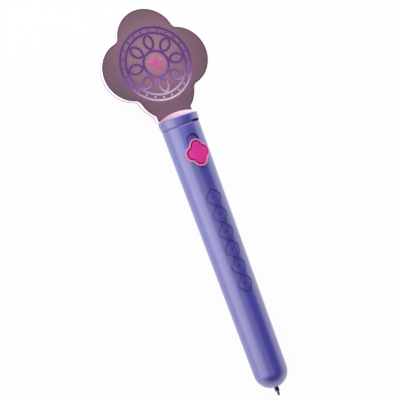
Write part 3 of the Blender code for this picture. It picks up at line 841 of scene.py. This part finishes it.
def track_cutter():
    """The recess for the slider's shoe, with a deeper groove round its floor and a softened upper edge."""
    groove = TRACK_FLOOR - TRACK_GROOVE_DEPTH
    island = -TRACK_GROOVE_WIDTH - TRACK_GROOVE_SLOPE
    sections = [(island - TRACK_BRINK, TRACK_FLOOR, 0), (island, TRACK_FLOOR, 0)]
    sections += [(-TRACK_GROOVE_WIDTH, groove, 0), (0.0, groove, 0)]
    sections += [(splay, TRACK_FLOOR + rise, 0) for splay, rise in TRACK_WALL]
    sections.append((TRACK_WALL[-1][0], BUTTON_TOP, 0))
    return lofted(slot_outline(TRACK_HALF_WIDTH, *TRACK_ENDS), sections, place_wrapped, CAP_SPACING)


def stem_slot_cutter():
    half = STEM_SLOT_HALF_WIDTH
    low, high = STEM_SLOT_ENDS
    return block((-half, -BUTTON_TOP, low), (half, -STEM_SLOT_INSIDE, high))


def braid_waves():
    """Two waves along the barrel that meet at both ends and cross in between."""
    low, high = BRAID_ENDS
    waves = []
    for side in (-1, 1):
        path = []
        for z in np.linspace(low, high, EYE_STEPS * BRAID_EYES + 1):
            phase = math.pi * BRAID_EYES * (z - low) / (high - low)
            path.append((side * BRAID_REACH * math.sin(phase), z))
        waves.append(path)
    return waves


def braid_cutters():
    """A groove with sloping walls for each wave, and a round dimple in each eye."""
    section = [(-GROOVE_BOTTOM, GROOVE_DEPTH), (GROOVE_BOTTOM, GROOVE_DEPTH)]
    section += [(GROOVE_TOP, -GROOVE_CLEARANCE), (-GROOVE_TOP, -GROOVE_CLEARANCE)]
    # The grooves and dimples take slot 1, the darker purple of painted shade.
    cutters = [swept([wave], section, place_unrolled, False, 1) for wave in braid_waves()]
    low, high = BRAID_ENDS
    step = (high - low) / BRAID_EYES
    sections = [(-DOT_SLOPE, GROOVE_DEPTH, 1), (0.0, -GROOVE_CLEARANCE, 1)]
    for eye in range(BRAID_EYES):
        dot = circle((0.0, low + step * (eye + 0.5)), DOT_RADIUS, steps=28)
        cutters.append(lofted(dot, sections, place_unrolled, spacing=0.5))
    return cutters


def skin_normals(mesh):
    """Gives the outer wall the normals of its formula, so that the cuts leave no ripples in the gloss."""
    normals = [corner.vector.copy() for corner in mesh.corner_normals]
    points = [TO_PEN @ vertex.co for vertex in mesh.vertices]
    turn = PEN.to_3x3()
    centre = Vector((0.0, 0.0, NOSE_CENTRE_Z))
    same_way, margin = 0.992, 0.05
    below_mouth = MOUTH_Z - MOUTH_EDGE - margin
    for polygon in mesh.polygons:
        for loop in polygon.loop_indices:
            point = points[mesh.loops[loop].vertex_index]
            if point.z > below_mouth:
                continue
            exact = Vector((point.x, point.y, 0.0)).normalized() - Vector((0.0, 0.0, TAPER))
            if point.z < NOSE_CENTRE_Z:
                exact = point - centre
            exact = turn @ exact.normalized()
            if polygon.normal.dot(exact) > same_way:
                normals[loop] = exact
    mesh.normals_split_custom_set(normals)


def make_barrel():
    work = carved(revolved(barrel_profile()), track_cutter(), stem_slot_cutter(), *braid_cutters())
    barrel = piece("barrel_shell", work, "pen_body", "barrel", PURPLES)
    skin_normals(barrel.data)


# Head

def nick_cutter():
    """A wide disc with a sloping brim that bites a lens-shaped nick into the collar's lower edge."""
    top, bottom = COLLAR_Z + NICK_HEIGHT, COLLAR_Z - OVERCUT
    brim = NICK_RADIUS - NICK_BRIM_SHARE * NICK_DEPTH
    profile = [(0.0, top), (brim, top), (NICK_RADIUS, COLLAR_Z + NICK_LIP)]
    profile += [(NICK_RADIUS, bottom), (0.0, bottom)]
    # The nick's faces take slot 2, the dark purple of painted shade.
    tool = revolved(profile, closed=False, material=2)
    distance = COLLAR_FOOT_RADIUS - NICK_DEPTH + NICK_RADIUS
    direction = math.radians(NICK_ANGLE)
    shift = (distance * math.sin(direction), -distance * math.cos(direction), 0.0)
    bmesh.ops.translate(tool, verts=tool.verts, vec=shift)
    return tool


def make_collar():
    """The ring at the mouth, with its skirt and the thumbnail nick in its lower edge."""
    foot = COLLAR_EDGE / 2
    seat = DOME_SEAT_RADIUS + SEAT_GAP
    seat_z = DOME_SEAT_Z - SEAT_GAP
    mouth_z = MOUTH_Z + COLLAR_SEAT_GAP
    profile = arc((COLLAR_TOP_RADIUS - COLLAR_EDGE, COLLAR_TOP_Z - COLLAR_EDGE), COLLAR_EDGE, 90, 0, 5)
    profile += arc((COLLAR_FOOT_RADIUS - foot, COLLAR_Z + foot), foot, 0, -90, 4)
    profile += [(SHOULDER_RADIUS, COLLAR_Z), (SHOULDER_RADIUS, mouth_z), (SKIRT_RADIUS, mouth_z)]
    profile += [(SKIRT_RADIUS, SKIRT_Z), (CELL_POCKET_RADIUS, SKIRT_Z)]
    profile += [(CELL_POCKET_RADIUS, BOARD_LEDGE_Z), (BOARD_POCKET_RADIUS, BOARD_LEDGE_Z)]
    profile += [(BOARD_POCKET_RADIUS, seat_z), (seat, seat_z), (seat, COLLAR_TOP_Z)]
    work = carved(revolved(profile), nick_cutter())
    piece("collar_ring", work, "pen_body", "collar", PURPLES)


def make_dome():
    """The frosted dome, with the slot that holds the plate's neck and tang."""
    rise = DOME_TOP_Z - DOME_LIP_Z
    curvature = (DOME_LIP_RADIUS**2 + rise**2) / (2 * rise)
    edge = math.degrees(math.asin(DOME_LIP_RADIUS / curvature))
    lip_z = COLLAR_TOP_Z + SEAT_GAP
    profile = [(0.0, DOME_TOP_Z)]
    profile += arc((0.0, DOME_TOP_Z - curvature), curvature, 90, 90 - edge, 20)[1:]
    profile += [(DOME_LIP_RADIUS, lip_z), (DOME_SEAT_RADIUS, lip_z)]
    profile += [(DOME_SEAT_RADIUS, DOME_SEAT_Z), (0.0, DOME_SEAT_Z)]
    front, back = PLATE_Y - PLATE_HALF - SEAT_GAP, PLATE_Y + PLATE_HALF + SEAT_GAP
    neck, tang = DOME_LIP_RADIUS + OVERCUT, TANG_HALF_WIDTH + SEAT_GAP
    above, below = DOME_TOP_Z + OVERCUT, DOME_SEAT_Z - OVERCUT
    neck_slot = block((-neck, front, DOME_LIP_Z), (neck, back, above))
    tang_slot = block((-tang, front, below), (tang, back, above))
    work = carved(revolved(profile, closed=False), neck_slot, tang_slot)
    piece("glow_dome", work, "pen_body", "diffuser", [FINISHES["frosted_plastic"]])


# Plate and its rosette

def rosette_loops():
    """The closed lines of the design: the rings and the petals."""
    centre = (0.0, PLATE_CENTRE_Z)
    rings = [circle(centre, radius, steps=120) for radius in (OUTER_RING, INNER_RING, STAR_RING)]
    return rings + [petal(math.tau * i / PETALS) for i in range(PETALS)]


def nearness(points, samples, reach):
    """For each point, 1 where it lies on a sample, falling softly to 0 beyond the reach."""
    near = KDTree(len(samples))
    for i, (x, z) in enumerate(samples):
        near.insert((x, z, 0.0), i)
    near.balance()
    distances = [near.find((x, z, 0.0))[2] for x, z in points]
    return [math.exp(-((distance / reach) ** 2)) for distance in distances]


def closer_together(outline, spacing):
    """The outline with points added wherever two lie further apart than the spacing."""
    points = []
    for (x, z), (next_x, next_z) in zip(outline, outline[1:] + outline[:1]):
        count = max(1, math.ceil(math.hypot(next_x - x, next_z - z) / spacing))
        points += [(x + (next_x - x) * i / count, z + (next_z - z) * i / count) for i in range(count)]
    return points


def shade_plate(mesh, outline):
    """Stores how near each point lies to the middle, where a warm glow is painted, to a lit line, round which a
    violet glow is painted, and to the plate's border.
    """
    points = [(TO_PEN @ vertex.co).xz for vertex in mesh.vertices]
    lines = [point for loop in rosette_loops() for point in closer_together(loop, SAMPLE_SPACING)]
    border = closer_together(outline, SAMPLE_SPACING)
    store(mesh, "glow", nearness(points, [(0.0, PLATE_CENTRE_Z + GLOW_RISE)], GLOW_REACH))
    store(mesh, "halo", nearness(points, lines, HALO_REACH))
    store(mesh, "border", nearness(points, border, BORDER_REACH))


def make_plate():
    """The acrylic sheet: mauve faces, and rounded edges that let the light out."""
    outline = closer_together(plate_outline(), PLATE_STEP)
    side = PLATE_HALF - PLATE_ROUNDING
    back_edge = arc((-PLATE_ROUNDING, -side), PLATE_ROUNDING, -90, 0, 3)
    front_edge = arc((-PLATE_ROUNDING, side), PLATE_ROUNDING, 0, 90, 3)[:-1]
    sections = [(inset, height, 0) for inset, height in back_edge]
    sections.append((0.0, BACK_LINE - side, 1))
    sections += [(inset, height, 1) for inset, height in front_edge]
    sections.append((-PLATE_ROUNDING, PLATE_HALF, 0))
    work = lofted(outline, sections, place_flat, CAP_SPACING)
    finishes = [FINISHES["mauve_acrylic"], lit_edge()]
    plate = piece("lobed_sheet", work, "pen_body", "light_plate", finishes)
    shade_plate(plate.data, grown(outline, -PLATE_ROUNDING).tolist())


def rosette_beads():
    """A ring of low domes between the two outer rings."""
    sections = [(0.0, LINE_BASE, 0), (0.0, LINE_TOP - LINE_EDGE, 0)]
    sections += [(-inset, LINE_TOP + rise, 0) for inset, rise in BEAD_DOME]
    middle = (OUTER_RING + INNER_RING) / 2
    beads = []
    for i in range(BEADS):
        angle = math.tau * (i + 0.5) / BEADS
        centre = (middle * math.cos(angle), PLATE_CENTRE_Z + middle * math.sin(angle))
        outline = circle(centre, BEAD_RADIUS, steps=18)
        beads.append(lofted(outline, sections, place_flat, spacing=0.4))
    return beads


def make_rosette():
    """The raised lines and beads on the plate's front."""
    edge, half, shoulder = LINE_TOP - LINE_EDGE, LINE_HALF_WIDTH, LINE_HALF_WIDTH * LINE_TOP_SHARE
    section = [(-half, LINE_BASE), (half, LINE_BASE), (half, edge)]
    section += [(shoulder, LINE_TOP), (-shoulder, LINE_TOP), (-half, edge)]
    work = merged(swept(rosette_loops(), section, place_flat, True), *rosette_beads())
    piece("rosette_lines", work, "pen_body", None, [lit_line()])


def make_star():
    """The raised star in the rosette's middle."""
    sections = [(0.0, LINE_BASE, 0), (0.0, LINE_TOP, 0), (-STAR_SLOPE, LINE_TOP + STAR_RISE, 0)]
    work = lofted(star(), sections, place_flat, CAP_SPACING)
    piece("rosette_star", work, "pen_body", None, [lit_star()])


# Slider

def button_shell():
    """The lobed shell, curved like the barrel: a raised rim, a moat and the face inside it."""
    rounding, foot, edge = BUTTON_ROUNDING, BUTTON_FOOT_EDGE, MOAT_EDGE
    rim_centre, face_centre = BUTTON_TOP - rounding, BUTTON_FACE - rounding
    rim, inside = -BUTTON_RIM, -BUTTON_RIM - MOAT_WIDTH
    rim_outside = arc((-rounding, rim_centre), rounding, 0, 90, 4)
    rim_inside = arc((rim + rounding, rim_centre), rounding, 90, 180, 4)
    face_edge = arc((inside - rounding, face_centre), rounding, 0, 90, 4)
    sections = [(-foot, BUTTON_UNDERSIDE, 0), (0.0, BUTTON_UNDERSIDE + foot, 0)]
    # Slot 1 is the rim's painted highlight, a paler pink; slot 2 is the moat's painted shade.
    sections += [(inset, radius, 1) for inset, radius in rim_outside + rim_inside]
    sections += [(rim, MOAT_FLOOR + 2 * edge, 2), (rim - edge, MOAT_FLOOR, 2)]
    sections += [(inside + edge, MOAT_FLOOR, 2), (inside, MOAT_FLOOR + edge, 0)]
    sections += [(inset, radius, 0) for inset, radius in face_edge]
    outline = bent(four_lobes(BUTTON_REACH, BUTTON_Z, steps=28, notch_steps=10))
    return lofted(outline, sections, place_wrapped, spacing=0.5)


def make_button():
    """The thumb button: its shell, the shoe that runs in the track, and the stem."""
    sections = [(0.0, TRACK_FLOOR + SHOE_LIFT, 0), (0.0, BUTTON_UNDERSIDE + SHOE_SUNK, 0)]
    shoe = lofted(slot_outline(SHOE_HALF_WIDTH, *SHOE_ENDS), sections, place_wrapped, CAP_SPACING)
    half = STEM_HALF_WIDTH
    low, high = STEM_ENDS
    stem = block((-half, -STEM_OUTSIDE, low), (half, -STEM_INSIDE, high))
    finishes = [FINISHES["pink_plastic"], pink_rim_highlight(), pink_painted_shade()]
    work = merged(button_shell(), shoe, stem)
    piece("thumb_button", work, "slider", "slider_button", finishes)


# Writing point

def make_holder():
    """The black socket that shows below the nose."""
    edge = POINT_EDGE
    front_z = POINT_TOP_Z + POINT_GAP
    bore = POINT_SHANK_RADIUS + POINT_GAP
    profile = [(HOLDER_RADIUS, HOLDER_TOP_Z), (HOLDER_RADIUS, HOLDER_SHOULDER_Z + HOLDER_CHAMFER)]
    profile += [(HOLDER_FRONT_RADIUS + edge, HOLDER_SHOULDER_Z), (HOLDER_FRONT_RADIUS, front_z + edge)]
    profile += [(HOLDER_FRONT_RADIUS - edge, front_z), (bore, front_z), (bore, HOLDER_TOP_Z)]
    work = revolved(profile, steps=POINT_STEPS)
    finishes = [FINISHES["black_plastic"]]
    piece("holder_nose", work, "slider", "point_holder", finishes)


def make_cone():
    """The metal cone, with a seat for the ball in its end."""
    edge = POINT_EDGE
    seat = BALL_RADIUS + POINT_GAP
    socket = arc((0.0, BALL_RADIUS), seat, *SEAT_ANGLES, 8)
    lip_radius, lip_z = socket[0]
    profile = [(POINT_SHANK_RADIUS, SHANK_TOP_Z), (POINT_SHANK_RADIUS, POINT_TOP_Z)]
    profile += arc((POINT_BASE_RADIUS - edge, POINT_TOP_Z - edge), edge, 90, 0, 4)
    profile += [(POINT_BASE_RADIUS, POINT_TOP_Z - POINT_BASE_HEIGHT)]
    profile += [(seat + POINT_WALL, BALL_RADIUS + POINT_GAP), (lip_radius + POINT_LIP, lip_z)]
    profile += socket + [(socket[-1][0], SHANK_TOP_Z)]
    work = revolved(profile, steps=POINT_STEPS)
    finishes = [FINISHES["nickel_steel"]]
    piece("point_cone", work, "slider", "writing_point", finishes)


def make_ball():
    work = bmesh.new()
    bmesh.ops.create_uvsphere(work, u_segments=32, v_segments=16, radius=BALL_RADIUS)
    bmesh.ops.translate(work, verts=work.verts, vec=(0.0, 0.0, BALL_RADIUS))
    piece("point_ball", work, "ball", "writing_ball", [FINISHES["carbide"]])


# Pieces inside

def finish_solids():
    """The solids take the finish of their slot. Those inside the pen are shown as they are."""
    for part in frame["record"]["subparts"]:
        node = frame["nodes"][part["node"]]
        node.data.materials.clear()
        node.data.materials.append(FINISHES[part["material_slot"]])


# Studio

def view_axes():
    """Towards the camera, to the right across the pen as it is seen, and along the pen."""
    turn = math.radians(VIEW_TURN)
    right, back, along = (PEN.to_3x3().col[i] for i in range(3))
    towards = -math.cos(turn) * back - math.sin(turn) * right
    return towards, along.cross(towards), along


def make_camera():
    towards, across, along = view_axes()
    lean = math.radians(PEN_LEAN)
    right = math.cos(lean) * across - math.sin(lean) * along
    up = math.sin(lean) * across + math.cos(lean) * along
    target = PEN @ Vector((0.0, 0.0, VIEW_CENTRE_Z * MM)) - across * VIEW_CENTRE_LEFT * MM
    data = bpy.data.cameras.new("camera")
    data.lens = CAMERA_LENS
    data.sensor_width = SENSOR_WIDTH
    data.clip_start = CAMERA_NEAR * MM
    camera = bpy.data.objects.new("camera", data)
    turned = Matrix((right, up, towards)).transposed().to_4x4()
    camera.matrix_world = Matrix.Translation(target + towards * CAMERA_DISTANCE * MM) @ turned
    bpy.context.scene.collection.objects.link(camera)
    bpy.context.scene.camera = camera


def softbox(name, side_angle, head_angle, distance, width, power):
    """An area lamp turned to the right of the camera by one angle and towards the pen's head by another."""
    towards, across, along = view_axes()
    side, head = math.radians(side_angle), math.radians(head_angle)
    direction = math.cos(side) * towards + math.sin(side) * across
    direction = math.cos(head) * direction + math.sin(head) * along
    middle = PEN @ Vector((0.0, 0.0, VIEW_CENTRE_Z * MM))
    data = bpy.data.lights.new(name, "AREA")
    data.shape = "RECTANGLE"
    data.size = width
    data.size_y = LAMP_LENGTH
    data.energy = power
    lamp = bpy.data.objects.new(name, data)
    right = along.cross(direction).normalized()
    facing = Matrix((right, direction.cross(right), direction)).transposed().to_4x4()
    lamp.matrix_world = Matrix.Translation(middle + direction * distance) @ facing
    bpy.context.scene.collection.objects.link(lamp)


def make_world():
    """A dim studio with a white horizon all round, which also closes the view from low down."""
    world = bpy.data.worlds.new("studio")
    world.use_nodes = True
    tree = world.node_tree
    place = tree.nodes.new("ShaderNodeTexCoord")
    axes = tree.nodes.new("ShaderNodeSeparateXYZ")
    tree.links.new(place.outputs["Generated"], axes.inputs["Vector"])
    low, high = (math.sin(math.radians(angle)) for angle in HORIZON_EDGE)
    background = tree.nodes["Background"]
    background.inputs["Color"].default_value = (1.0, 1.0, 1.0, 1.0)
    strength = spread(tree, axes.outputs["Z"], 1.0, ROOM_LIGHT, low, high)
    tree.links.new(strength, background.inputs["Strength"])
    bpy.context.scene.world = world


def floor_finish():
    """Matt white, which the camera and reflections see lifted to white with a faint shadow left in it."""
    material = bpy.data.materials.new("floor")
    material.use_nodes = True
    tree = material.node_tree
    tree.nodes.clear()
    diffuse = tree.nodes.new("ShaderNodeBsdfDiffuse")
    diffuse.inputs["Color"].default_value = (FLOOR_GREY, FLOOR_GREY, FLOOR_GREY, 1.0)
    white = tree.nodes.new("ShaderNodeEmission")
    white.inputs["Strength"].default_value = 1.0
    path = tree.nodes.new("ShaderNodeLightPath")
    seen = path.outputs["Is Camera Ray"]
    for ray in ("Is Glossy Ray", "Is Transmission Ray"):
        either = tree.nodes.new("ShaderNodeMath")
        either.operation = "MAXIMUM"
        tree.links.new(seen, either.inputs[0])
        tree.links.new(path.outputs[ray], either.inputs[1])
        seen = either.outputs[0]
    lift = spread(tree, seen, 0.0, FLOOR_LIFT, 0.0, 1.0)
    mix = tree.nodes.new("ShaderNodeMixShader")
    tree.links.new(lift, mix.inputs["Fac"])
    tree.links.new(diffuse.outputs[0], mix.inputs[1])
    tree.links.new(white.outputs[0], mix.inputs[2])
    output = tree.nodes.new("ShaderNodeOutputMaterial")
    tree.links.new(mix.outputs[0], output.inputs["Surface"])
    return material


def make_floor():
    """The table that the pen lies on."""
    work = bmesh.new()
    bmesh.ops.create_grid(work, x_segments=1, y_segments=1, size=FLOOR_REACH)
    mesh = bpy.data.meshes.new("floor")
    work.to_mesh(mesh)
    work.free()
    mesh.materials.append(floor_finish())
    floor = bpy.data.objects.new("floor", mesh)
    bpy.context.scene.collection.objects.link(floor)


finish_solids()
make_barrel()
make_collar()
make_dome()
make_plate()
make_rosette()
make_star()
make_button()
make_holder()
make_cone()
make_ball()
make_camera()
make_world()
make_floor()
softbox("key", side_angle=-45.8, head_angle=7.0, distance=0.55, width=0.6, power=2.15)
softbox("front", side_angle=4.8, head_angle=0.0, distance=0.6, width=0.37, power=0.37)
softbox("head", side_angle=38.0, head_angle=58.0, distance=0.6, width=0.7, power=4.2)
bpy.context.scene.view_settings.view_transform = "Standard"
